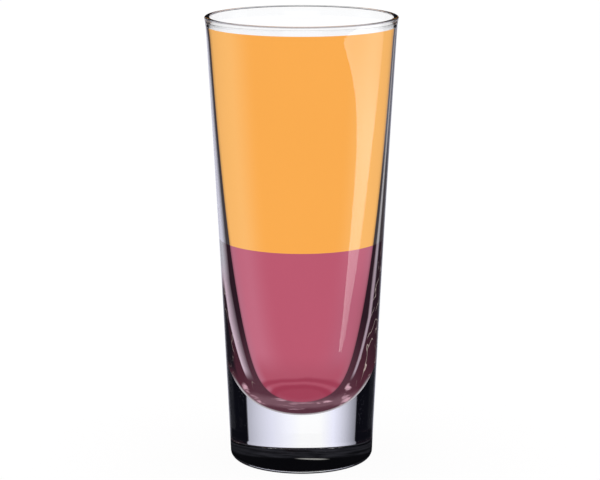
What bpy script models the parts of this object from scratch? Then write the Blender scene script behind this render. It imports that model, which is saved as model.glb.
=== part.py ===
"""A fruit shake in two layers, in a tall tumbler with a thick base, at real size.

Metres, +Z up. The origin is the centre of the underside, and the glass stands on Z = 0. Each of the three
pieces is a turned profile: the tumbler, the rose layer in its lower half and the orange layer on top of it.
"""

import math

import bpy

COLLECTION_NAME = "layered_shake"

# Outside of the tumbler
HEIGHT = 0.152
RIM_RADIUS = 0.032
BASE_RADIUS = 0.0242
FOOT_ROUND = 0.0032
SIDE_SAG = 0.0003

# Lip, a little thicker than the wall below it
LIP_RADIUS = 0.00075
LIP_FADE = 0.0012

# Wall, which thickens downwards into the solid base
BASE_THICKNESS = 0.0173
WALL_AT_RIM = 0.00072
WALL_GAIN = 0.0108
WALL_FADE = 0.0385
BOWL_ROUND = 0.004
CAVITY_DEPTH = HEIGHT - LIP_RADIUS - BASE_THICKNESS

# Drink
ORANGE_LEVEL = 0.1487
ROSE_LEVEL = 0.0765
CLEARANCE = 0.0003

# Fineness of the turned meshes
TURN_STEPS = 72
CAVITY_STATIONS = 26
SIDE_STATIONS = 7
ROUND_STATIONS = 6
MERGE_DISTANCE = 0.00001


def outer_radius(z):
    """The side's radius: a straight taper that sags in slightly halfway up."""
    share = (z - FOOT_ROUND) / (HEIGHT - FOOT_ROUND)
    straight = BASE_RADIUS + (RIM_RADIUS - BASE_RADIUS) * share
    return straight - 4 * SIDE_SAG * share * (1 - share)


def wall_thickness(z):
    """The wall's thickness, falling off above the base and swelling again at the lip."""
    body = WALL_AT_RIM + WALL_GAIN * math.exp(-(z - BASE_THICKNESS) / WALL_FADE)
    lip = (2 * LIP_RADIUS - WALL_AT_RIM) * math.exp(-(HEIGHT - LIP_RADIUS - z) / LIP_FADE)
    return body + lip


def cavity_radius(z):
    """The cavity's radius, rounded off like a bowl at its lower end."""
    bowl = math.sqrt(1 - math.exp(-(z - BASE_THICKNESS) / BOWL_ROUND))
    return (outer_radius(z) - wall_thickness(z)) * bowl


def cavity_point(share):
    """A point (radius, z) of the inner wall, for a share from 0 at the bottom's centre to 1 at the lip.

    Equal steps of the share lie closer together at both ends, where the wall bends most.
    """
    z = BASE_THICKNESS + CAVITY_DEPTH * math.sin(math.pi / 2 * share) ** 2
    return math.copysign(cavity_radius(z), share), z


def share_at(z):
    """The share of cavity_point that lies at this height."""
    return math.asin(math.sqrt((z - BASE_THICKNESS) / CAVITY_DEPTH)) * 2 / math.pi


def cleared_point(share, clearance):
    """cavity_point, moved off the wall into the cavity by the clearance."""
    step = 0.001
    low = cavity_point(share - step)
    high = cavity_point(share + step)
    run, rise = high[0] - low[0], high[1] - low[1]
    length = math.hypot(run, rise)
    radius, z = cavity_point(share)
    return radius - clearance * rise / length, z + clearance * run / length


def tumbler_profile():
    """The tumbler's half section, from the cavity's centre up the inside, over the lip and down to the foot."""
    points = [cavity_point(i / CAVITY_STATIONS) for i in range(CAVITY_STATIONS + 1)]
    points[0] = (0.0, BASE_THICKNESS)
    lip_low = HEIGHT - LIP_RADIUS
    lip_outer = outer_radius(lip_low)
    lip_middle = (points[-1][0] + lip_outer) / 2
    lip_half = (lip_outer - points[-1][0]) / 2
    for i in range(1, 2 * ROUND_STATIONS):
        turn = math.pi * i / (2 * ROUND_STATIONS)
        points.append((lip_middle - lip_half * math.cos(turn), lip_low + LIP_RADIUS * math.sin(turn)))
    for i in range(SIDE_STATIONS + 1):
        z = lip_low + (FOOT_ROUND - lip_low) * i / SIDE_STATIONS
        points.append((outer_radius(z), z))
    foot_middle = BASE_RADIUS - FOOT_ROUND
    for i in range(1, ROUND_STATIONS + 1):
        turn = math.pi / 2 * i / ROUND_STATIONS
        points.append((foot_middle + FOOT_ROUND * math.cos(turn), FOOT_ROUND * (1 - math.sin(turn))))
    points.append((0.0, 0.0))
    return points


def layer_profile(low, high):
    """Half section of the drink between two heights, a clearance off the wall. With no low, it fills the bowl."""
    start = 0.0 if low is None else share_at(low)
    end = share_at(high)
    count = max(4, round(CAVITY_STATIONS * (end - start)))
    points = [(0.0, high), (cleared_point(end, CLEARANCE)[0], high)]
    for i in range(1, count):
        points.append(cleared_point(end + (start - end) * i / count, CLEARANCE))
    if low is None:
        points.append((0.0, BASE_THICKNESS + CLEARANCE))
    else:
        points.append((cleared_point(start, CLEARANCE)[0], low))
        points.append((0.0, low))
    return points


def turned(name, profile, material, collection):
    """A closed solid made by turning a half section around the Z axis."""
    mesh = bpy.data.meshes.new(name)
    edges = [(i, i + 1) for i in range(len(profile) - 1)]
    mesh.from_pydata([(radius, 0.0, z) for radius, z in profile], edges, [])
    mesh.materials.append(material)
    piece = bpy.data.objects.new(name, mesh)
    collection.objects.link(piece)
    screw = piece.modifiers.new("Turn", "SCREW")
    screw.axis = "Z"
    screw.angle = 2 * math.pi
    screw.steps = TURN_STEPS
    screw.render_steps = TURN_STEPS
    screw.use_merge_vertices = True
    screw.merge_threshold = MERGE_DISTANCE
    screw.use_smooth_shade = True
    return piece


def surface(name, colour, roughness, transmission=0.0, ior=1.45):
    """A Principled material with the given colour and finish."""
    material = bpy.data.materials.new(name)
    material.use_nodes = True
    shader = material.node_tree.nodes["Principled BSDF"]
    shader.inputs["Base Color"].default_value = (*colour, 1.0)
    shader.inputs["Roughness"].default_value = roughness
    shader.inputs["Metallic"].default_value = 0.0
    shader.inputs["Transmission Weight"].default_value = transmission
    shader.inputs["IOR"].default_value = ior
    material.diffuse_color = (*colour, 1.0 - 0.65 * transmission)
    return material


def clear_scene():
    """Removes the objects that the scene starts with."""
    for piece in list(bpy.data.objects):
        bpy.data.objects.remove(piece, do_unlink=True)


def main():
    """Models the tumbler and the two layers of drink in one collection."""
    clear_scene()
    collection = bpy.data.collections.new(COLLECTION_NAME)
    bpy.context.scene.collection.children.link(collection)

    clear_glass = surface("clear_glass", (0.95, 0.97, 0.97), 0.0, transmission=1.0)
    rose_drink = surface("rose_drink", (0.49, 0.11, 0.17), 0.3)
    orange_drink = surface("orange_drink", (0.96, 0.42, 0.085), 0.3)

    turned("tumbler", tumbler_profile(), clear_glass, collection)
    turned("rose_layer", layer_profile(None, ROSE_LEVEL - CLEARANCE / 2), rose_drink, collection)
    turned("orange_layer", layer_profile(ROSE_LEVEL + CLEARANCE / 2, ORANGE_LEVEL), orange_drink, collection)


main()
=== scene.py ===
"""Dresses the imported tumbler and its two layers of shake, and sets them up in a bright studio."""

import math

import bpy
from bpy.props import FloatProperty, FloatVectorProperty, IntProperty, PointerProperty
from bpy.types import NodeSocket, Operator, Panel, PropertyGroup
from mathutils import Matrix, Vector


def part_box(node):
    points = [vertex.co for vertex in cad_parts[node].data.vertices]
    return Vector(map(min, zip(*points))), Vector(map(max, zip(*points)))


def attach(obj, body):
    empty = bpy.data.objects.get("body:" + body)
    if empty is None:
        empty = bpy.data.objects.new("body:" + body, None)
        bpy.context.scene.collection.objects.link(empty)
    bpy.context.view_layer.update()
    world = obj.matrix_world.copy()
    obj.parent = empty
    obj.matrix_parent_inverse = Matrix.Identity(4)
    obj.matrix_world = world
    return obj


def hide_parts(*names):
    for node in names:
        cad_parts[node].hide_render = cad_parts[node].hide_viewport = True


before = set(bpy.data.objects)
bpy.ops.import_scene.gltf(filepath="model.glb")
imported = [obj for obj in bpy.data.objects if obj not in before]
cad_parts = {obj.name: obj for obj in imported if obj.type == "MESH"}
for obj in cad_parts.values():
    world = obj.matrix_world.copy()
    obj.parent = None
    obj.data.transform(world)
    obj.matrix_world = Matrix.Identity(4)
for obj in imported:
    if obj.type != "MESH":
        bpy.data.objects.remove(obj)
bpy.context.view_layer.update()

bl_info = {
    "name": "Layered Shake",
    "version": (1, 0, 0),
    "blender": (4, 5, 0),
    "location": "3D View > Sidebar > Shake",
    "description": "Models a two-layered fruit shake in a tall tumbler with a thick base",
    "category": "Object",
}

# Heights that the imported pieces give
TUMBLER_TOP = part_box("tumbler")[1].z
DRINK_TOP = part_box("orange_layer")[1].z
LAYER_SEAM = (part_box("orange_layer")[0].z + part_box("rose_layer")[1].z) / 2

# Modelling: the step that a curve's slope is taken over, the distance at which points become one, the facets of a
# round sheet, and the angle from which a drink's edge is sharp
SLOPE_STEP = 0.0005
WELD = 0.000002
SHEET_TURNS = 96
SHARP_ANGLE = math.radians(50.0)

# The width over which the drink's surface climbs at the wall
CLIMB = 0.0026

# Where the lip's painted shade and the underside's painted dark reach to, as shares of the lip's height and of the
# foot's rounding
LIP_PAINTED_SHARE = 0.9
FOOT_PAINTED_SHARE = 0.16

# The stage: the table, the spans of the two round screens, and the black cards under and above the tumbler
TABLE_SIZE = 12.0
TABLE_LEVEL = -0.0002
SCREEN_SPAN = (-0.075, 0.4)
MIRRORED_SPAN = (-0.6, 0.6)
CARD_RADIUS = 0.03
CARD_LEVEL = -0.0004
SKIRT_BEND = (0.05, -0.012)
SKIRT_FOOT = -0.076
RING_RADIUS = 3.0
RING_SPAN = (1.3, 7.0)
EYE_ASIDE = -0.0005

# The highlight's two edges on the glass: degrees round from the front, as a polynomial of the height
STREAK_LOW = 0.0425
STREAK_HIGH = 0.1495
STREAK_MIDDLE = 0.1
STREAK_SPAN = 0.05
STREAK_LEFT = (-4.195, -8.313, -7.146, 3.798, 36.6)
STREAK_RIGHT = (-1.571, 1.404, -1.797, 10.747, 48.8)

# The swelling of its right edge above its lower tip: degrees, height and span
STREAK_TIP = 1.5
STREAK_TIP_AT = 0.0455
STREAK_TIP_SPAN = 0.006

# The short painted glint on the underside: its middle, its half length and half width, and how it slants
PAINTED_GLINT_X = 0.0023
PAINTED_GLINT_Y = 0.0062
PAINTED_GLINT_LONG = 0.0035
PAINTED_GLINT_WIDE = 0.0016
PAINTED_GLINT_SLANT = 0.35

# The painted glints in the bowl, each twice round: degrees, height, half width in degrees, half height and
# strength
GLINTS = (
    (-74.0, 0.0263, 7.0, 0.0016, 1.0), (-66.0, 0.0238, 8.0, 0.0006, 0.5), (-56.0, 0.0224, 8.0, 0.0007, 0.8),
    (-28.0, 0.0243, 9.0, 0.0004, 0.8), (-20.0, 0.0225, 14.0, 0.0003, 0.5), (4.0, 0.0236, 14.0, 0.0005, 0.5),
    (31.0, 0.0237, 10.0, 0.0006, 1.0), (54.0, 0.0272, 5.0, 0.0018, 1.0), (60.0, 0.0243, 6.0, 0.0008, 0.6),
    (68.0, 0.0226, 9.0, 0.0014, 0.9), (-6.0, 0.0211, 10.0, 0.0003, 0.6))

# The rings of the painted shade at the bottom of the bowl: places outwards from its middle, and how deep it is
POOL = (
    (0.0, 0.72), (0.4, 0.72), (0.48, 0.95), (0.55, 0.9), (0.62, 0.15), (0.67, 0.15), (0.73, 0.8), (0.8, 0.85),
    (0.9, 0.0), (1.0, 0.0))

# What the screens round the tumbler let through: degrees to the side of straight behind, and shares
LOW_FILM = (
    (-90.0, 0.6), (-79.0, 0.5), (-75.0, 0.003), (-30.2, 0.003), (-29.4, 0.24), (-24.7, 0.4), (-19.0, 0.64),
    (-14.0, 0.86), (-8.0, 1.0), (0.0, 1.0), (5.5, 0.92), (13.0, 0.77), (20.0, 0.62), (29.0, 0.44),
    (29.8, 0.003), (75.0, 0.003), (79.0, 0.5), (90.0, 0.6))
HIGH_FILM = (
    (-90.0, 0.6), (-79.0, 0.5), (-75.0, 0.003), (-30.2, 0.003), (-29.4, 0.9), (29.0, 0.9), (29.8, 0.003),
    (75.0, 0.003), (79.0, 0.5), (90.0, 0.6))
TOP_FILM = (
    (-90.0, 0.6), (-79.0, 0.5), (-75.0, 0.003), (-26.0, 0.003), (-20.0, 1.0), (20.0, 1.0), (26.0, 0.003),
    (75.0, 0.003), (79.0, 0.5), (90.0, 0.6))
MIRRORED_FILM = (
    (-180.0, 0.3), (-110.0, 0.3), (-84.0, 0.01), (-36.0, 0.01), (-27.0, 0.15), (-20.0, 0.45), (-8.0, 0.75),
    (0.0, 0.9), (8.0, 0.75), (20.0, 0.45), (27.0, 0.15), (36.0, 0.01), (84.0, 0.01), (110.0, 0.3), (180.0, 0.3))

# How much bluer than white the film is
FILM_BLUE = 1.16
FILM_LIFT = 0.002

# How far the drink turns away from the eye, between where its painted sheen and painted outmost tone set in and
# where they are full
SHEEN_TURN = (0.07, 0.18)
OUTMOST_TURN = (0.2, 0.28)

# Tones that the settings don't hold, in linear light
# Down to OUTLINE_GREY these are painted light: painted reflection, shade, sheen and glints on the glass and drink
UNDERSIDE_BLACK = (0.003, 0.003, 0.004)
UNDERSIDE_PAINTED_GREY = (0.03, 0.03, 0.037)
PAINTED_GLINT_GREY = (0.36, 0.36, 0.34)
FOOT_GREY = (0.045, 0.048, 0.065)
WALL_HIGH = (0.14, 0.142, 0.18)
WALL_UNSEEN = (0.006, 0.006, 0.008)
SURFACE_SHINE = (0.97, 0.97, 0.98)
SHEEN_RIGHT = (0.475, 0.115, 0.18)
OUTMOST_LEFT = (0.5, 0.16, 0.235)
OUTMOST_RIGHT = (0.42, 0.11, 0.165)
PAINTED_LINE_GREY = (0.62, 0.5, 0.46)
EDGE_BLACK = (0.009, 0.008, 0.012)
SEAM_GREY = (0.6, 0.59, 0.66)
OUTLINE_GREY = (0.5, 0.47, 0.5)
TABLE_WHITE = (0.95, 0.95, 0.95)
CARD_BLACK = (0.003, 0.003, 0.004)
BELT_BLACK = (0.03, 0.03, 0.035)
MIRRORED_BLACK = (0.01, 0.01, 0.012)


# Settings

def length(name, description, default, **more):
    """A length in metres, shown with fine steps."""
    return FloatProperty(
        name=name, description=description, default=default, min=0.0, precision=5,
        subtype="DISTANCE", unit="LENGTH", **more)


def colour(name, description, default):
    """A colour in linear light."""
    return FloatVectorProperty(
        name=name, description=description, default=default, size=3, min=0.0, max=1.0, subtype="COLOR")


def share(name, description, default, **more):
    """A plain number between 0 and 1."""
    return FloatProperty(
        name=name, description=description, default=default, min=0.0, max=1.0, subtype="FACTOR", **more)


class TumblerSettings(PropertyGroup):
    """Sizes and finish of the tumbler."""

    height: length("Height", "From the table to the top of the lip", TUMBLER_TOP)
    rim_radius: length("Rim radius", "Outside radius at the top of the side", 0.03212)
    base_radius: length("Base radius", "Outside radius just above the rounded foot", 0.02435)
    foot_round: length("Foot round", "Radius of the rounding between side and underside", 0.0025)
    side_sag: length("Side sag", "How far the side bends in halfway up", 0.0003)
    lip_height: length("Lip height", "Height of the rounding on top of the lip", 0.0005)
    lip_swell: length("Lip swell", "How far the lip stands out into the cavity", 0.0004)
    lip_flare: length("Lip flare", "How far the lip stands out from the side", 0.0003)
    lip_fade: length("Lip fade", "Height over which the wall swells into the lip", 0.0015)
    base_thickness: length("Base thickness", "Solid glass under the cavity", 0.0173)
    wall_at_rim: length("Wall at rim", "Thickness of the wall below the lip", 0.00078)
    wall_gain: length("Wall gain", "Extra thickness of the wall at the cavity's bottom", 0.0109)
    wall_fade: length("Wall fade", "Height over which the extra thickness falls off", 0.0385)
    bowl_round: length("Bowl round", "Height of the rounding at the cavity's bottom", 0.004)
    turns: IntProperty(name="Turns", description="Facets around the glass", default=256, min=24, max=360)
    tint: colour("Tint", "Faint colour of the glass", (0.975, 0.98, 0.99))
    # Painted grey shade of the lip where it faces the eye
    lip_grey: colour("Lip grey", "Tone of the lip's outer edge where it faces the eye", (0.42, 0.42, 0.46))
    index: FloatProperty(
        name="Index", description="How strongly the glass bends light", default=1.45, min=1.3, max=1.7)


class DrinkSettings(PropertyGroup):
    """Levels and colours of the shake."""

    level: length("Level", "Height of the drink's surface", DRINK_TOP)
    seam: length("Seam", "Height where the orange layer rests on the rose one", LAYER_SEAM)
    reach: length("Reach", "How far the drink reaches into the wall, so that no air shows", 0.00008)
    meniscus: length("Meniscus", "How far the surface climbs at the wall", 0.00012)
    orange: colour("Orange", "Body of the upper layer", (0.972, 0.414, 0.071))
    # Painted sheen of the upper layer towards its edges
    orange_sheen: colour("Orange sheen", "Upper layer towards its edges", (1.0, 0.508, 0.15))
    orange_top: colour("Orange surface", "Surface of the upper layer", (0.97, 0.46, 0.11))
    # The wall tones beside the upper layer are painted reflection, carried by the drink's own material
    wall_light: colour("Wall, light", "Light side of the wall beside the upper layer", (0.84, 0.83, 0.97))
    wall_line: colour("Wall, line", "Light line in the wall's dark side", (0.46, 0.44, 0.46))
    wall_dark: colour("Wall, dark", "Dark parts of the wall beside the upper layer", (0.06, 0.05, 0.054))
    rose: colour("Rose", "Body of the lower layer", (0.506, 0.094, 0.154))
    # Painted sheen of the lower layer towards its edges
    rose_sheen: colour("Rose sheen", "Lower layer towards its edges", (0.548, 0.142, 0.214))
    # Painted shade at the bottom of the bowl
    rose_deep: colour("Rose, deep", "Lower layer at the bottom of the bowl", (0.33, 0.033, 0.072))
    # Painted reflection and shade that the wall shows beside the lower layer, in plum tones and a lavender line
    plum: colour("Plum", "Edge of the lower layer in the bowl", (0.09, 0.024, 0.04))
    plum_dark: colour("Plum, dark", "Edge of the lower layer higher up", (0.026, 0.011, 0.018))
    lavender: colour("Lavender", "Bright line along the lower layer's edge", (0.66, 0.5, 0.6))
    # Painted glints and mauve in the plum edge
    blush: colour("Blush", "Glints in the plum edge", (0.65, 0.38, 0.46))


class StudioSettings(PropertyGroup):
    """Camera and light."""

    camera_distance: length("Camera distance", "From the tumbler's axis to the camera", 0.815)
    camera_height: length("Camera height", "Above the table", 0.246)
    camera_pitch: FloatProperty(
        name="Camera pitch", description="Downward tilt", default=math.radians(11.8), subtype="ANGLE")
    lens: FloatProperty(name="Lens", description="Focal length in millimetres", default=147.35, min=20.0)
    daylight: FloatProperty(name="Daylight", description="Brightness all round", default=1.03, min=0.0)
    floor_glow: share("Floor glow", "Share of the floor's white that it gives off by itself", 0.75)
    screen_radius: length("Screen radius", "From the tumbler's axis to the round screen", 0.232)
    streak_light: FloatProperty(name="Streak light", description="Brightness of the tall lamp", default=4.5)
    streak_radius: length("Streak radius", "From the tumbler's axis to the tall lamp", 0.15)


# Form of the glass and of the drink

def side_radius(glass, z):
    """The side's radius without the lip: a straight taper that sags in slightly halfway up."""
    up = (z - glass.foot_round) / (glass.height - glass.foot_round)
    straight = glass.base_radius + (glass.rim_radius - glass.base_radius) * up
    return straight - 4 * glass.side_sag * up * (1 - up)


def lip_share(glass, z):
    """How much of the lip's swelling there is at this height."""
    return math.exp(-(glass.height - glass.lip_height - z) / glass.lip_fade)


def outer_radius(glass, z):
    """The outside's radius, with the lip."""
    return side_radius(glass, z) + glass.lip_flare * lip_share(glass, z)


def wall_thickness(glass, z):
    """The thickness inwards from the side, falling off above the base and swelling again at the lip."""
    body = glass.wall_at_rim + glass.wall_gain * math.exp(-(z - glass.base_thickness) / glass.wall_fade)
    return body + glass.lip_swell * lip_share(glass, z)


def cavity_radius(glass, z):
    """The cavity's radius, rounded off like a bowl at its lower end."""
    bowl = math.sqrt(max(0.0, 1 - math.exp(-(z - glass.base_thickness) / glass.bowl_round)))
    return (side_radius(glass, z) - wall_thickness(glass, z)) * bowl


def cavity_depth(glass):
    """From the lip's lower edge to the cavity's bottom."""
    return glass.height - glass.lip_height - glass.base_thickness


def cavity_point(glass, along):
    """A point (radius, z) of the inner wall, from 0 at the bottom's centre to 1 at the lip."""
    z = glass.base_thickness + cavity_depth(glass) * math.sin(math.pi / 2 * along) ** 2
    return math.copysign(cavity_radius(glass, z), along), z


def along_at(glass, z):
    """The place on cavity_point that lies at this height."""
    return math.asin(math.sqrt((z - glass.base_thickness) / cavity_depth(glass))) * 2 / math.pi


def pressed_point(glass, along, reach):
    """cavity_point, moved into the glass by the reach."""
    low = cavity_point(glass, along - SLOPE_STEP)
    high = cavity_point(glass, along + SLOPE_STEP)
    run, rise = high[0] - low[0], high[1] - low[1]
    span = math.hypot(run, rise)
    radius, z = cavity_point(glass, along)
    return radius + reach * rise / span, z - reach * run / span


def tumbler_section(glass):
    """Half section of the tumbler, from the cavity's centre up the inside, over the lip and down to the foot."""
    inside, lip, side, foot = 150, 20, 70, 24
    points = [cavity_point(glass, i / inside) for i in range(inside + 1)]
    points[0] = (0.0, glass.base_thickness)
    lip_low = glass.height - glass.lip_height
    lip_outer = outer_radius(glass, lip_low)
    lip_middle = (points[-1][0] + lip_outer) / 2
    lip_half = (lip_outer - points[-1][0]) / 2
    for i in range(1, lip):
        turn = math.pi * i / lip
        points.append((lip_middle - lip_half * math.cos(turn), lip_low + glass.lip_height * math.sin(turn)))
    for i in range(side + 1):
        z = lip_low + (glass.foot_round - lip_low) * (i / side) ** 2
        points.append((outer_radius(glass, z), z))
    foot_middle = glass.base_radius - glass.foot_round
    for i in range(1, foot + 1):
        turn = math.pi / 2 * i / foot
        points.append((foot_middle + glass.foot_round * math.cos(turn), glass.foot_round * (1 - math.sin(turn))))
    points.append((foot_middle * 0.97, 0.0))
    points.append((0.0, 0.0))
    return points


def layer_section(glass, low, high, reach, meniscus):
    """Half section of a layer of drink, from the centre of its top to the centre of its bottom."""
    start = 0.0 if low is None else along_at(glass, low)
    end = along_at(glass, high + meniscus)
    top_radius = pressed_point(glass, end, reach)[0]
    points = [(0.0, high)]
    if meniscus:
        count = 12
        for i in range(count):
            part = i / count
            points.append((top_radius - CLIMB * (1 - part), high + meniscus * part ** 3))
    points.append((top_radius, high + meniscus))
    count = max(24, round(150 * (end - start)))
    for i in range(1, count):
        points.append(pressed_point(glass, end + (start - end) * i / count, reach))
    if low is None:
        points.append((0.0, glass.base_thickness - reach))
    else:
        points.append((pressed_point(glass, start, reach)[0], low))
        points.append((0.0, low))
    return points


# Modelling tools

def edit_new(name):
    """Starts a new piece in edit mode, from a plane merged to one point at the origin."""
    bpy.ops.object.select_all(action="DESELECT")
    bpy.ops.mesh.primitive_plane_add(size=0.001, location=(0.0, 0.0, 0.0))
    piece = bpy.context.active_object
    piece.name = name
    piece.data.name = name
    bpy.ops.object.mode_set(mode="EDIT")
    bpy.ops.mesh.select_mode(type="VERT")
    bpy.ops.mesh.select_all(action="SELECT")
    bpy.ops.mesh.merge(type="CENTER")
    return piece


def draw_section(points):
    """Draws a half section by extruding one point along it."""
    places = [Vector((radius, 0.0, z)) for radius, z in points]
    bpy.ops.transform.translate(value=places[0])
    for before, after in zip(places, places[1:]):
        bpy.ops.mesh.extrude_region_move(TRANSFORM_OT_translate={"value": after - before})


def spin_section(steps):
    """Spins the drawn section once round the upright axis."""
    bpy.ops.mesh.select_all(action="SELECT")
    bpy.ops.mesh.spin(steps=steps, angle=2 * math.pi, center=(0.0, 0.0, 0.0), axis=(0.0, 0.0, 1.0))


def turned_piece(name, points, steps):
    """A closed piece turned from a half section, with its poles merged and its faces outwards."""
    piece = edit_new(name)
    draw_section(points)
    spin_section(steps)
    bpy.ops.mesh.select_all(action="SELECT")
    bpy.ops.mesh.remove_doubles(threshold=WELD)
    bpy.ops.mesh.normals_make_consistent(inside=False)
    bpy.ops.object.mode_set(mode="OBJECT")
    return piece


def give_material(piece, material, chosen=None):
    """Puts a material on the whole piece, or on the faces whose centre and normal pass the test."""
    piece.data.materials.append(material)
    if chosen is None:
        return
    bpy.ops.object.mode_set(mode="EDIT")
    bpy.ops.mesh.select_mode(type="FACE")
    bpy.ops.mesh.select_all(action="DESELECT")
    bpy.ops.object.mode_set(mode="OBJECT")
    for face in piece.data.polygons:
        face.select = chosen(face.center, face.normal)
    piece.active_material_index = len(piece.data.materials) - 1
    bpy.ops.object.mode_set(mode="EDIT")
    bpy.ops.object.material_slot_assign()
    bpy.ops.object.mode_set(mode="OBJECT")


def finish_piece(piece, node):
    """Makes the piece stand for its CAD node, on the one body of the part."""
    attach(piece, "root")
    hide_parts(node)


# Materials

def new_tree(name):
    """A material with an empty node tree but for its output."""
    material = bpy.data.materials.new(name)
    material.use_nodes = True
    tree = material.node_tree
    tree.nodes.clear()
    tree.nodes.new("ShaderNodeOutputMaterial")
    return material, tree


def add(tree, kind, sockets=None, **setup):
    """Adds a node, sets it up, and feeds its sockets from values or from other nodes."""
    node = tree.nodes.new(kind)
    for key, value in setup.items():
        setattr(node, key, value)
    for key, value in (sockets or {}).items():
        if isinstance(value, NodeSocket):
            tree.links.new(value, node.inputs[key])
        else:
            node.inputs[key].default_value = value
    return node


def finish_tree(tree, shader):
    """Joins a shader to the output."""
    tree.links.new(shader, tree.nodes["Material Output"].inputs["Surface"])


def calc(tree, operation, first, second=0.0, third=0.0):
    """The result of a sum of numbers."""
    node = add(tree, "ShaderNodeMath", {0: first, 1: second, 2: third}, operation=operation)
    return node.outputs["Value"]


def blend(tree, factor, first, second):
    """A blend of two colours."""
    node = add(tree, "ShaderNodeMix", data_type="RGBA")
    for index, value in ((0, factor), (6, first), (7, second)):
        if isinstance(value, NodeSocket):
            tree.links.new(value, node.inputs[index])
        else:
            node.inputs[index].default_value = value
    return node.outputs[2]


def ramp(tree, value, low, high, smooth=True):
    """Value brought from the range low to high onto 0 to 1."""
    node = add(
        tree, "ShaderNodeMapRange", {"Value": value, "From Min": low, "From Max": high},
        interpolation_type="SMOOTHSTEP" if smooth else "LINEAR")
    return node.outputs["Result"]


def stepped(tree, value, low, high, stops):
    """Colours that follow a value from low to high, from pairs of a place (0 to 1) and a colour."""
    node = add(tree, "ShaderNodeValToRGB", {"Fac": ramp(tree, value, low, high, smooth=False)})
    elements = node.color_ramp.elements
    elements[0].color = opaque(stops[0][1])
    elements[1].color = opaque(stops[-1][1])
    for place, tone in stops[1:-1]:
        elements.new(place).color = opaque(tone)
    return node.outputs["Color"]


def noise(tree, vector, scale, detail=2.0, roughness=0.5, distortion=0.0):
    """Cloudy noise."""
    node = add(tree, "ShaderNodeTexNoise", {
        "Vector": vector, "Scale": scale, "Detail": detail, "Roughness": roughness, "Distortion": distortion})
    return node.outputs["Fac"]


def stretched(tree, vector, scale):
    """The same places, with each axis scaled by its own amount."""
    node = add(tree, "ShaderNodeMapping", {"Vector": vector, "Scale": scale})
    return node.outputs["Vector"]


def facing_of(tree):
    """How far the surface turns away from the eye: 0 where it faces it, 1 where it is seen edge on."""
    return add(tree, "ShaderNodeLayerWeight", {"Blend": 0.5}).outputs["Facing"]


def opaque(value):
    """A linear colour with full alpha."""
    return (*value, 1.0)


def shaded(tone, gain, lift=0.0):
    """A lighter or darker form of a colour, with full alpha."""
    return opaque(min(1.0, channel * gain + lift) for channel in tone)


def place_of(tree):
    """The place on the piece, whole and split into its three numbers."""
    place = add(tree, "ShaderNodeTexCoord").outputs["Object"]
    return place, add(tree, "ShaderNodeSeparateXYZ", {"Vector": place})


def product(tree, *values):
    """All the values multiplied."""
    total = values[0]
    for value in values[1:]:
        total = calc(tree, "MULTIPLY", total, value)
    return total


def square_sum(tree, first, second):
    """The sum of two squares."""
    return calc(tree, "ADD", product(tree, first, first), product(tree, second, second))


def matt(tree, tone):
    """A matt shader."""
    return add(tree, "ShaderNodeBsdfDiffuse", {"Color": tone}).outputs["BSDF"]


def mix(tree, factor, first, second):
    """A mix of two shaders."""
    return add(tree, "ShaderNodeMixShader", {0: factor, 1: first, 2: second}).outputs["Shader"]


def clear_body(tree, glass, **more):
    """Clear polished glass, with any further sockets."""
    return add(tree, "ShaderNodeBsdfPrincipled", {
        "Base Color": opaque(glass.tint), "Roughness": 0.0, "IOR": glass.index, "Transmission Weight": 1.0,
        **more}).outputs["BSDF"]


def drink_body(tree, tone):
    """The smooth, opaque body of the drink."""
    return add(tree, "ShaderNodeBsdfPrincipled", {
        "Base Color": tone, "Roughness": 0.35, "Specular IOR Level": 0.0}).outputs["BSDF"]


def glass_material(glass):
    """Clear polished glass with the faint upright waves that pressing leaves in it."""
    material, tree = new_tree("clear glass")
    place, _ = place_of(tree)
    waves = noise(tree, stretched(tree, place, (1.0, 1.0, 0.25)), 70.0, 1.0)
    bump = add(tree, "ShaderNodeBump", {"Strength": 0.3, "Distance": 0.00006, "Height": waves})
    finish_tree(tree, clear_body(tree, glass, Normal=bump.outputs["Normal"]))
    return material


def lip_material(glass):
    """The lip's outer edge: clear where it is seen along its side, and painted grey shade where it faces the eye.
    """
    material, tree = new_tree("glass lip")
    # Painted grey shade where the lip faces the eye
    greyness = product(tree, ramp(tree, facing_of(tree), 0.8, 0.5), 0.92)
    finish_tree(tree, mix(tree, greyness, clear_body(tree, glass), matt(tree, opaque(glass.lip_grey))))
    return material


def underside_material(glass):
    """The underside and the foot's lower edge, painted dark as the base's reflection, with a painted grey patch
    and glint.
    """
    material, tree = new_tree("glass underside")
    place, split = place_of(tree)
    # Painted dark: black on the underside, grey on the foot's lower edge, for the dark that the base mirrors
    up_foot = ramp(tree, split.outputs["Z"], 0.0001, 0.0009)
    tone = blend(tree, up_foot, opaque(UNDERSIDE_BLACK), opaque(FOOT_GREY))
    # A painted grey patch on the back half, in clouds, where the base mirrors a little light
    clouds = ramp(tree, noise(tree, place, 260.0, 3.0), 0.25, 0.75)
    back = ramp(tree, split.outputs["Y"], 0.006, 0.01)
    tone = blend(tree, product(tree, clouds, back), tone, opaque(UNDERSIDE_PAINTED_GREY))
    # A short painted glint
    along = calc(tree, "SUBTRACT", split.outputs["X"], PAINTED_GLINT_X)
    across = calc(tree, "MULTIPLY_ADD", along, PAINTED_GLINT_SLANT, calc(tree, "SUBTRACT", split.outputs["Y"], PAINTED_GLINT_Y))
    away = square_sum(tree, calc(tree, "DIVIDE", along, PAINTED_GLINT_LONG), calc(tree, "DIVIDE", across, PAINTED_GLINT_WIDE))
    tone = blend(tree, ramp(tree, away, 1.3, 0.2), tone, opaque(PAINTED_GLINT_GREY))
    opacity = 0.995
    finish_tree(tree, mix(tree, opacity, clear_body(tree, glass), matt(tree, tone)))
    return material


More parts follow.
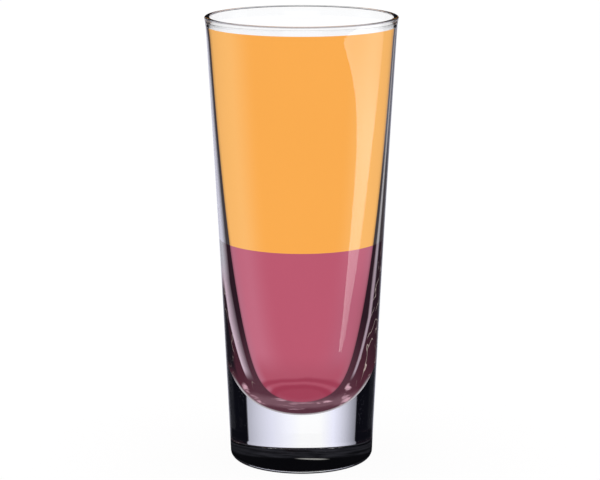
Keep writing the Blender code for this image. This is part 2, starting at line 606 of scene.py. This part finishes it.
def edge_painted_reflection(tree, glass, body, painted_look):
    """Body, which turns into the painted reflection where the glass lets no light across to the drink."""
    edge = add(tree, "ShaderNodeFresnel", {"IOR": 1.0 / glass.index})
    return mix(tree, ramp(tree, edge.outputs["Fac"], 0.25, 1.0, smooth=False), body, painted_look)


def grazing_limit(glass, z):
    """How far the drink can turn away from an eye that sees it through the wall."""
    bent = outer_radius(glass, z) / (glass.index * cavity_radius(glass, z))
    return 1 - math.sqrt(max(0.0, 1 - bent ** 2))


def within(tree, room, part, start, most):
    """The place that lies a part of the room beyond a start, and no further than most."""
    return calc(tree, "MINIMUM", calc(tree, "MULTIPLY_ADD", room, part, start), most)


def edge_light(tree, glass, split, sharpness):
    """Painted reflection in the wall beside the drink: a light band on the left, a light line on the right, dark
    between.

    Gives how light it is, how far it lies across the band, which side it is on, 0 for left and 1 for right, and
    whether it can be seen straight through the wall.
    """
    low, high, count = 0.024, 0.15, 22
    height = split.outputs["Z"]
    stops = []
    for i in range(count):
        part = i / (count - 1)
        limit = grazing_limit(glass, low + (high - low) * part)
        stops.append((part, (limit, limit, limit)))
    limit = stepped(tree, height, low, high, stops)
    first = 1 - math.sqrt(1 - 1 / glass.index ** 2)
    room = calc(tree, "SUBTRACT", limit, first)
    place, _ = place_of(tree)
    wobble = calc(tree, "SUBTRACT", noise(tree, stretched(tree, place, (1.0, 1.0, 0.4)), 90.0, 1.0), 0.5)
    facing = calc(tree, "MULTIPLY_ADD", wobble, product(tree, room, 0.08), facing_of(tree))
    right = ramp(tree, split.outputs["X"], -0.004, 0.004)
    left = calc(tree, "SUBTRACT", 1.0, right)

    # The band, which ends at its outer side below the upper layer and runs on to the outline above that
    inner = within(tree, room, 0.42, first, 0.335)
    start = calc(tree, "SUBTRACT", inner, within(tree, room, 0.14, 0.0, 0.01))
    outer = within(tree, room, 0.33, inner, 0.412)
    across = ramp(tree, facing, start, outer, smooth=False)
    ending = ramp(tree, facing, calc(tree, "ADD", outer, 0.022), calc(tree, "ADD", outer, 0.006))
    endless = ramp(tree, height, 0.058, 0.066)
    band = product(tree, calc(tree, "POWER", across, sharpness), calc(tree, "MAXIMUM", ending, endless))

    # The line, with soft sides
    middle = within(tree, room, 0.4, first, 0.362)
    half = within(tree, room, 0.18, 0.0, 0.024)
    off = calc(tree, "ABSOLUTE", calc(tree, "SUBTRACT", facing, middle))
    line = ramp(tree, calc(tree, "DIVIDE", off, half), 1.0, 0.2)

    light = calc(tree, "ADD", product(tree, band, left), product(tree, line, right))
    seen = ramp(tree, facing, calc(tree, "ADD", limit, 0.06), calc(tree, "ADD", limit, 0.025))
    return product(tree, light, seen), across, right, seen


def orange_material(glass, drink):
    """The upper layer seen through the wall: smooth, opaque and only just uneven, with painted sheen and wall
    reflection.
    """
    material, tree = new_tree("orange shake")
    place, split = place_of(tree)
    clouds = noise(tree, stretched(tree, place, (1.0, 1.0, 0.5)), 45.0, 3.0)
    even = blend(tree, clouds, shaded(drink.orange, 0.985), shaded(drink.orange, 1.015, 0.002))
    # Painted sheen towards the edges
    sheen = ramp(tree, facing_of(tree), *SHEEN_TURN)
    body = drink_body(tree, blend(tree, sheen, even, opaque(drink.orange_sheen)))
    # Painted reflection of the wall beside the upper layer: light band and line, dark between, lighter high on the
    # right
    light, _, right, seen = edge_light(tree, glass, split, 1.0)
    lightest = blend(tree, right, opaque(drink.wall_light), opaque(drink.wall_line))
    high = product(tree, right, ramp(tree, split.outputs["Z"], 0.095, 0.12))
    dark = blend(tree, high, opaque(drink.wall_dark), opaque(WALL_HIGH))
    painted_walls = blend(tree, seen, opaque(WALL_UNSEEN), blend(tree, light, dark, lightest))
    finish_tree(tree, edge_painted_reflection(tree, glass, body, matt(tree, painted_walls)))
    return material


def surface_material(drink):
    """The drink's upper surface: wet, a little frothy, and painted white as a reflection where it is seen along
    its level.
    """
    material, tree = new_tree("orange shake surface")
    place, _ = place_of(tree)
    clouds = noise(tree, place, 120.0, 4.0, 0.6)
    tone = blend(tree, clouds, opaque(drink.orange_top), shaded(drink.orange_top, 1.02, 0.03))
    froth = noise(tree, place, 900.0, 3.0, 0.6)
    bump = add(tree, "ShaderNodeBump", {"Strength": 0.35, "Distance": 0.0001, "Height": froth})
    body = add(tree, "ShaderNodeBsdfPrincipled", {
        "Base Color": tone, "Roughness": 0.3, "IOR": 1.35, "Coat Weight": 0.5, "Coat Roughness": 0.05,
        "Normal": bump.outputs["Normal"]})
    # Painted reflection: white where the surface is seen along its level
    along = ramp(tree, facing_of(tree), 0.56, 0.72)
    finish_tree(tree, mix(tree, along, body.outputs["BSDF"], matt(tree, opaque(SURFACE_SHINE))))
    return material


def plum_edge(tree, glass, drink, place, split):
    """The lower layer's edge in painted reflection: dark plum, a lavender line along it, glints in the bowl, fine
    light lines.
    """
    height = split.outputs["Z"]
    facing = facing_of(tree)
    light, across, right, _ = edge_light(tree, glass, split, 0.6)
    blush = opaque(drink.blush)
    plum = blend(tree, ramp(tree, height, 0.026, 0.052, smooth=False), opaque(drink.plum), opaque(drink.plum_dark))

    # Painted mauve round the bowl and painted glints in it, at places that a cloud bends
    cloud = calc(tree, "SUBTRACT", noise(tree, stretched(tree, place, (1.0, 1.0, 1.8)), 150.0, 2.0), 0.5)
    turn = calc(tree, "ARCTAN2", split.outputs["Y"], split.outputs["X"])
    turn = calc(tree, "MULTIPLY_ADD", cloud, 0.5, turn)
    level = calc(tree, "MULTIPLY_ADD", cloud, 0.0026, height)
    mauve = product(tree, ramp(tree, level, 0.0262, 0.0235), ramp(tree, level, 0.0208, 0.0222), 0.16)
    plum = blend(tree, mauve, plum, blush)
    glints = 0.0
    for around, up, half_wide, half_tall, strength in GLINTS:
        near = calc(tree, "SUBTRACT", turn, math.radians(around - 90.0))
        off = calc(tree, "WRAP", near, math.pi / 2, -math.pi / 2)
        wide = calc(tree, "DIVIDE", off, math.radians(half_wide))
        tall = calc(tree, "DIVIDE", calc(tree, "SUBTRACT", level, up), half_tall)
        glint = product(tree, ramp(tree, square_sum(tree, wide, tall), 1.7, 0.0), strength)
        glints = calc(tree, "MAXIMUM", glint, glints)
    brush = noise(tree, stretched(tree, place, (1.0, 1.0, 3.5)), 190.0, 2.0, 0.5, 0.6)
    edge = blend(tree, product(tree, glints, ramp(tree, brush, 0.36, 0.58)), plum, blush)

    # Painted fine light lines in the wall above the bowl, stronger on the right: the contour lines of a noise, in
    # patches
    waves = noise(tree, stretched(tree, place, (1.0, 1.0, 0.6)), 125.0, 2.0, 0.6)
    painted_lines = ramp(tree, calc(tree, "ABSOLUTE", calc(tree, "SUBTRACT", waves, 0.5)), 0.016, 0.0)
    patches = ramp(tree, noise(tree, stretched(tree, place, (1.0, 1.0, 0.8)), 190.0, 1.0), 0.36, 0.5)
    painted_line_mask = product(
        tree, ramp(tree, height, 0.09, 0.07), ramp(tree, height, 0.026, 0.032), ramp(tree, facing, 0.33, 0.38),
        calc(tree, "MULTIPLY_ADD", right, 0.35, 0.5), painted_lines, patches)
    edge = blend(tree, painted_line_mask, edge, opaque(PAINTED_LINE_GREY))

    # Painted black shade beside the outline, which reaches down furthest where the drink turns away most
    lowest = calc(tree, "MULTIPLY_ADD", ramp(tree, facing, 0.5, 0.62), -0.006, 0.037)
    lowest = calc(tree, "MULTIPLY_ADD", ramp(tree, facing, 0.51, 0.46), 0.01, lowest)
    above = ramp(tree, calc(tree, "SUBTRACT", height, lowest), -0.003, 0.003)
    beside = ramp(tree, facing, 0.43, 0.47)
    black = product(tree, above, beside, calc(tree, "MULTIPLY_ADD", right, -0.75, 0.95))
    edge = blend(tree, black, edge, opaque(EDGE_BLACK))

    # The painted lavender band and line of reflected light, greyer near the upper layer
    inward = shaded(drink.lavender, 0.55)
    lined = blend(tree, across, inward, opaque(drink.lavender))
    lined = blend(tree, product(tree, right, 0.5), lined, inward)
    greyer = blend(tree, across, inward, opaque(SEAM_GREY))
    lined = blend(tree, ramp(tree, height, 0.06, 0.072), lined, greyer)
    edge = blend(tree, product(tree, light, ramp(tree, height, 0.0295, 0.034)), edge, lined)

    # A painted grey line of reflected light at the outline low in the bowl
    thin = product(tree, ramp(tree, facing, 0.7, 0.85), ramp(tree, height, 0.03, 0.025))
    return matt(tree, blend(tree, thin, edge, opaque(OUTLINE_GREY)))


def rose_material(glass, drink):
    """The lower layer seen through the wall: dusky rose, painted shade deeper in the bowl, painted sheen and plum
    edge.
    """
    material, tree = new_tree("rose shake")
    place, split = place_of(tree)
    height = split.outputs["Z"]
    facing = facing_of(tree)
    clouds = noise(tree, stretched(tree, place, (1.0, 1.0, 0.5)), 45.0, 3.0)
    rose = blend(tree, clouds, shaded(drink.rose, 0.98), shaded(drink.rose, 1.02, 0.003))
    # Painted sheen towards the edges, in another tone on the right where the light falls differently, and a
    # painted outmost edge tone
    right = product(tree, ramp(tree, split.outputs["X"], 0.0, 0.01), ramp(tree, height, 0.078, 0.052))
    sheen = blend(tree, right, opaque(drink.rose_sheen), opaque(SHEEN_RIGHT))
    rose = blend(tree, ramp(tree, facing, *SHEEN_TURN), rose, sheen)
    # Painted shade: darker lower down
    rose = blend(tree, ramp(tree, height, 0.042, 0.032), rose, shaded(drink.rose, 0.88))
    outmost = blend(tree, right, opaque(OUTMOST_LEFT), opaque(OUTMOST_RIGHT))
    rose = blend(tree, ramp(tree, facing, *OUTMOST_TURN), rose, outmost)

    # Painted shade at the bottom of the bowl: four times on the way round, rings spread from the bottom
    turn = calc(tree, "ARCTAN2", split.outputs["Y"], split.outputs["X"])
    folded = calc(tree, "WRAP", turn, math.pi / 4, -math.pi / 4)
    swirl = noise(tree, stretched(tree, place, (1.0, 1.0, 1.6)), 110.0, 1.5)
    level = calc(tree, "MULTIPLY_ADD", swirl, 0.0022, height)
    wide = calc(tree, "DIVIDE", folded, 0.9)
    tall = calc(tree, "DIVIDE", calc(tree, "SUBTRACT", level, 0.0261), 0.0075)
    out = calc(tree, "SQRT", square_sum(tree, wide, calc(tree, "MAXIMUM", tall, 0.0)))
    pool = stepped(tree, out, 0.0, 1.25, [(part, (depth, depth, depth)) for part, depth in POOL])
    bowl_shade = blend(tree, pool, rose, opaque(drink.rose_deep))

    # Painted shade on the flat bottom, which faces down into the base
    normal = add(tree, "ShaderNodeNewGeometry").outputs["Normal"]
    upward = add(tree, "ShaderNodeSeparateXYZ", {"Vector": normal}).outputs["Z"]
    bowl_shade = blend(tree, ramp(tree, upward, -0.6, -0.7), bowl_shade, shaded(drink.rose_deep, 0.12))
    edge = plum_edge(tree, glass, drink, place, split)
    finish_tree(tree, edge_painted_reflection(tree, glass, drink_body(tree, bowl_shade), edge))
    return material


def streak_material(strength):
    """The tall lamp's light, which falls off to one side, because the glass mirrors that side more strongly."""
    material, tree = new_tree("streak light")
    sheet = add(tree, "ShaderNodeSeparateXYZ", {"Vector": add(tree, "ShaderNodeTexCoord").outputs["UV"]})
    fall = calc(tree, "MULTIPLY_ADD", ramp(tree, sheet.outputs["Y"], 0.6, 0.95), 0.42, 0.32)
    light = product(tree, calc(tree, "SUBTRACT", 0.92, product(tree, sheet.outputs["X"], fall)), strength)
    finish_tree(tree, add(tree, "ShaderNodeEmission", {"Strength": light}).outputs["Emission"])
    return material


def card_material():
    """Matt black card."""
    material, tree = new_tree("black card")
    finish_tree(tree, matt(tree, opaque(CARD_BLACK)))
    return material


def see_through(tree, film):
    """Joins a see-through film of this tone to the output."""
    finish_tree(tree, add(tree, "ShaderNodeBsdfTransparent", {"Color": film}).outputs["BSDF"])


def film_around(tree, split, stops, both_ways):
    """The slightly blue light that a screen lets through round the tumbler, from pairs of degrees and shares."""
    depth = split.outputs["Y"]
    if both_ways:
        depth = calc(tree, "ABSOLUTE", depth)
    first, last = stops[0][0], stops[-1][0]
    turn = calc(tree, "ARCTAN2", split.outputs["X"], depth)
    return stepped(tree, turn, math.radians(first), math.radians(last), [
        ((angle - first) / (last - first), (value, value, min(1.0, value * FILM_BLUE + FILM_LIFT)))
        for angle, value in stops])


def screen_material():
    """A round screen of see-through film: clear gaps in front, behind and at the sides, and dark between them.

    Its low part is darker in front to both sides, and a dark belt without gaps runs round it.
    """
    material, tree = new_tree("screen film")
    _, split = place_of(tree)
    height = split.outputs["Z"]
    low, high, top = (film_around(tree, split, stops, True) for stops in (LOW_FILM, HIGH_FILM, TOP_FILM))
    near = ramp(tree, split.outputs["Y"], -0.1, -0.15)
    outward = ramp(tree, calc(tree, "ABSOLUTE", split.outputs["X"]), 0.04, 0.07)
    low = blend(tree, product(tree, near, outward, 0.8), low, opaque(CARD_BLACK))
    film = blend(tree, ramp(tree, height, 0.05, 0.07), low, high)
    belt = product(tree, ramp(tree, height, 0.023, 0.03), ramp(tree, height, 0.113, 0.107))
    film = blend(tree, belt, film, opaque(BELT_BLACK))
    see_through(tree, blend(tree, ramp(tree, height, 0.112, 0.118), film, top))
    return material


def mirrored_material():
    """The same kind of film for what the outside of the glass mirrors: dark to both sides of the back."""
    material, tree = new_tree("mirrored film")
    _, split = place_of(tree)
    film = film_around(tree, split, MIRRORED_FILM, False)
    above = ramp(tree, split.outputs["Z"], 0.138, 0.158)
    below = ramp(tree, split.outputs["Z"], -0.058, -0.066)
    see_through(tree, blend(tree, calc(tree, "MAXIMUM", above, below), film, opaque(MIRRORED_BLACK)))
    return material


def floor_material(studio):
    """White table that is lit partly from below."""
    material, tree = new_tree("white table")
    glow = add(tree, "ShaderNodeEmission", {"Strength": studio.daylight})
    finish_tree(tree, mix(tree, studio.floor_glow, matt(tree, opaque(TABLE_WHITE)), glow.outputs["Emission"]))
    return material


# Stage

def stage_piece(piece, material, camera=False, glossy=False, through=False):
    """Gives a stage object its material, and says which rays meet it."""
    piece.data.materials.append(material)
    piece.visible_camera = camera
    piece.visible_diffuse = camera
    piece.visible_shadow = camera
    piece.visible_glossy = glossy
    piece.visible_transmission = through


def curved_wall(name, section):
    """A round sheet with the tumbler in its middle, spun from its section."""
    piece = edit_new(name)
    draw_section(section)
    spin_section(SHEET_TURNS)
    bpy.ops.mesh.select_all(action="SELECT")
    bpy.ops.mesh.remove_doubles(threshold=WELD)
    bpy.ops.object.mode_set(mode="OBJECT")
    return piece


def mirrored_place(glass, eye, z, around, radius):
    """Where a lamp on a cylinder has to be, for the eye to see it mirrored at this place of the side."""
    slope = (side_radius(glass, z + SLOPE_STEP) - side_radius(glass, z - SLOPE_STEP)) / (2 * SLOPE_STEP)
    side = Vector((math.sin(around), -math.cos(around), 0.0))
    place = side * side_radius(glass, z) + Vector((0.0, 0.0, z))
    normal = Vector((side.x, side.y, -slope)).normalized()
    ray = (place - eye).normalized().reflect(normal)
    flat = ray.x ** 2 + ray.y ** 2
    half = place.x * ray.x + place.y * ray.y
    reach = (math.sqrt(half ** 2 - flat * (place.x ** 2 + place.y ** 2 - radius ** 2)) - half) / flat
    return place + ray * reach


def polynomial(terms, value):
    """The polynomial with these terms, highest first."""
    total = 0.0
    for term in terms:
        total = total * value + term
    return total


def streak_lamp(glass, studio, eye):
    """A tall lamp whose picture in the side of the glass is a tapering streak."""
    bpy.ops.object.select_all(action="DESELECT")
    across, up = 12, 60
    bpy.ops.mesh.primitive_grid_add(x_subdivisions=across, y_subdivisions=up, size=2.0, location=(0.0, 0.0, 0.0))
    lamp = bpy.context.active_object
    lamp.name = "streak_lamp"
    for corner in lamp.data.vertices:
        part = (corner.co.y + 1) / 2
        z = STREAK_LOW + (STREAK_HIGH - STREAK_LOW) * part
        value = (z - STREAK_MIDDLE) / STREAK_SPAN
        left, right = polynomial(STREAK_LEFT, value), polynomial(STREAK_RIGHT, value)
        right += STREAK_TIP * math.exp(-((z - STREAK_TIP_AT) / STREAK_TIP_SPAN) ** 2)
        around = math.radians(left + (right - left) * (corner.co.x + 1) / 2)
        corner.co = mirrored_place(glass, eye, z, around, studio.streak_radius)
    return lamp


# Operators

class SHAKE_OT_tumbler(Operator):
    """Model the tumbler"""

    bl_idname = "shake.tumbler"
    bl_label = "Tumbler"

    def execute(self, context):
        glass = context.scene.shake_tumbler
        piece = turned_piece("tumbler_glass", tumbler_section(glass), glass.turns)
        give_material(piece, glass_material(glass))
        lip_from = glass.height - LIP_PAINTED_SHARE * glass.lip_height
        foot_to = FOOT_PAINTED_SHARE * glass.foot_round
        give_material(
            piece, lip_material(glass),
            lambda centre, normal: centre.z > lip_from and normal.xy.dot(centre.xy) > 0)
        give_material(piece, underside_material(glass), lambda centre, normal: centre.z < foot_to)
        bpy.ops.object.shade_smooth()
        piece.visible_diffuse = False
        piece.visible_shadow = False
        finish_piece(piece, "tumbler")
        return {"FINISHED"}


class SHAKE_OT_rose(Operator):
    """Model the lower layer of the drink"""

    bl_idname = "shake.rose"
    bl_label = "Rose Layer"

    def execute(self, context):
        glass = context.scene.shake_tumbler
        drink = context.scene.shake_drink
        section = layer_section(glass, None, drink.seam, drink.reach, 0.0)
        piece = turned_piece("rose_shake", section, glass.turns)
        give_material(piece, rose_material(glass, drink))
        bpy.ops.object.shade_smooth_by_angle(angle=SHARP_ANGLE)
        finish_piece(piece, "rose_layer")
        return {"FINISHED"}


class SHAKE_OT_orange(Operator):
    """Model the upper layer of the drink"""

    bl_idname = "shake.orange"
    bl_label = "Orange Layer"

    def execute(self, context):
        glass = context.scene.shake_tumbler
        drink = context.scene.shake_drink
        section = layer_section(glass, drink.seam, drink.level, drink.reach, drink.meniscus)
        piece = turned_piece("orange_shake", section, glass.turns)
        give_material(piece, orange_material(glass, drink))
        surface_from = drink.level - 0.0001
        give_material(
            piece, surface_material(drink),
            lambda centre, normal: centre.z > surface_from and normal.z > 0.6)
        bpy.ops.object.shade_smooth_by_angle(angle=SHARP_ANGLE)
        finish_piece(piece, "orange_layer")
        return {"FINISHED"}


class SHAKE_OT_studio(Operator):
    """Set up the table, the light, the screens and cards, and the camera"""

    bl_idname = "shake.studio"
    bl_label = "Studio"

    def execute(self, context):
        scene = context.scene
        glass = scene.shake_tumbler
        studio = scene.shake_studio

        world = bpy.data.worlds.new("soft daylight")
        world.use_nodes = True
        background = world.node_tree.nodes["Background"]
        background.inputs["Color"].default_value = (1.0, 1.0, 1.0, 1.0)
        background.inputs["Strength"].default_value = studio.daylight
        scene.world = world
        scene.view_settings.view_transform = "Standard"

        bpy.ops.object.select_all(action="DESELECT")
        bpy.ops.mesh.primitive_plane_add(size=TABLE_SIZE, location=(0.0, 0.0, TABLE_LEVEL))
        floor = context.active_object
        floor.name = "table"
        stage_piece(floor, floor_material(studio), camera=True)

        radius = studio.screen_radius
        screen = curved_wall("screen", [(radius, z) for z in SCREEN_SPAN])
        stage_piece(screen, screen_material(), through=True)
        mirrored = curved_wall("mirrored_screen", [(radius, z) for z in MIRRORED_SPAN])
        stage_piece(mirrored, mirrored_material(), glossy=True)
        card = card_material()
        skirt = curved_wall("card_skirt", ((CARD_RADIUS, CARD_LEVEL), SKIRT_BEND, (radius, SKIRT_FOOT)))
        stage_piece(skirt, card, glossy=True, through=True)
        ring = curved_wall("card_ring", [(RING_RADIUS, z) for z in RING_SPAN])
        stage_piece(ring, card, through=True)
        bpy.ops.object.select_all(action="DESELECT")
        bpy.ops.mesh.primitive_circle_add(
            vertices=64, radius=CARD_RADIUS, fill_type="NGON", location=(0.0, 0.0, CARD_LEVEL))
        under = context.active_object
        under.name = "card_under"
        stage_piece(under, card, glossy=True, through=True)

        eye = Vector((EYE_ASIDE, -studio.camera_distance, studio.camera_height))
        lamp = streak_lamp(glass, studio, eye)
        stage_piece(lamp, streak_material(studio.streak_light), glossy=True)

        bpy.ops.object.camera_add(location=eye, rotation=(math.pi / 2 - studio.camera_pitch, 0.0, 0.0))
        camera = context.active_object
        camera.data.lens = studio.lens
        camera.data.sensor_width = 36.0
        camera.data.clip_start = 0.01
        camera.data.clip_end = 50.0
        scene.camera = camera
        return {"FINISHED"}


class SHAKE_PT_panel(Panel):
    """Lists the settings and the steps."""

    bl_label = "Layered Shake"
    bl_space_type = "VIEW_3D"
    bl_region_type = "UI"
    bl_category = "Shake"

    def draw(self, context):
        groups = (
            (context.scene.shake_tumbler, ("shake.tumbler",)),
            (context.scene.shake_drink, ("shake.rose", "shake.orange")),
            (context.scene.shake_studio, ("shake.studio",)))
        for settings, steps in groups:
            box = self.layout.box()
            for key in settings.bl_rna.properties.keys():
                if key not in ("rna_type", "name"):
                    box.prop(settings, key)
            for step in steps:
                box.operator(step)


CLASSES = (
    TumblerSettings, DrinkSettings, StudioSettings,
    SHAKE_OT_tumbler, SHAKE_OT_rose, SHAKE_OT_orange, SHAKE_OT_studio, SHAKE_PT_panel)


def register():
    """Adds the classes, and their settings to the scene."""
    for item in CLASSES:
        bpy.utils.register_class(item)
    bpy.types.Scene.shake_tumbler = PointerProperty(type=TumblerSettings)
    bpy.types.Scene.shake_drink = PointerProperty(type=DrinkSettings)
    bpy.types.Scene.shake_studio = PointerProperty(type=StudioSettings)


def unregister():
    """Takes the classes and settings away again."""
    del bpy.types.Scene.shake_studio
    del bpy.types.Scene.shake_drink
    del bpy.types.Scene.shake_tumbler
    for item in reversed(CLASSES):
        bpy.utils.unregister_class(item)


def main():
    """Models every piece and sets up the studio."""
    register()
    bpy.ops.shake.tumbler()
    bpy.ops.shake.rose()
    bpy.ops.shake.orange()
    bpy.ops.shake.studio()


if __name__ == "__main__":
    main()
